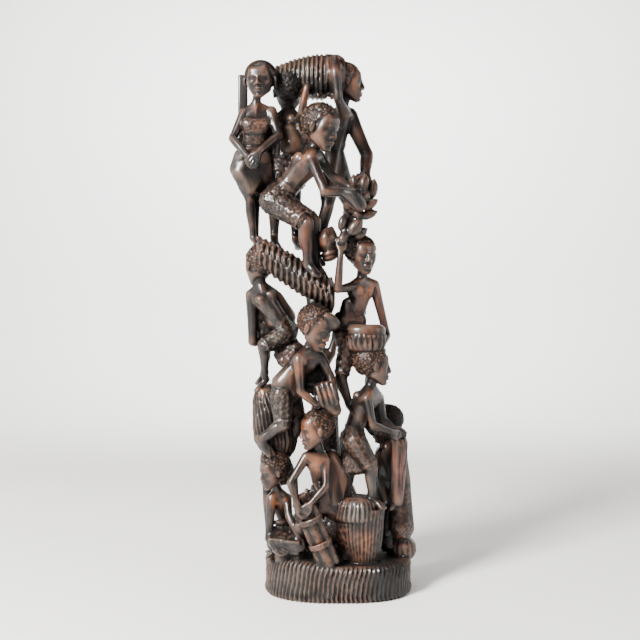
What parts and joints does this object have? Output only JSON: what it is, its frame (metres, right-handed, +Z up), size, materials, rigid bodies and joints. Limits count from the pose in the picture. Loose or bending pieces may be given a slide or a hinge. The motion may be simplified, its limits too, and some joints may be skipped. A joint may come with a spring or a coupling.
{
  "type": "makonde ujamaa carving",
  "caption": "Standing openwork carving of villagers climbing over one another on a fluted plinth, cut from a dark hardwood log.",
  "frame": {"origin": "middle of the plinth's flat underside", "axes": "+Z up along the carving's height, -Y the side that faces the viewer in the picture, +X to that viewer's right"},
  "size_m": [0.2105, 0.139, 0.6029],
  "materials": {
    "carving": "dark African blackwood, hand carved and oiled to a soft gloss, with some red-brown and grey-green tones"
  },
  "bodies": {
    "root": {"carving": "carving"}
  },
  "joints": []
}
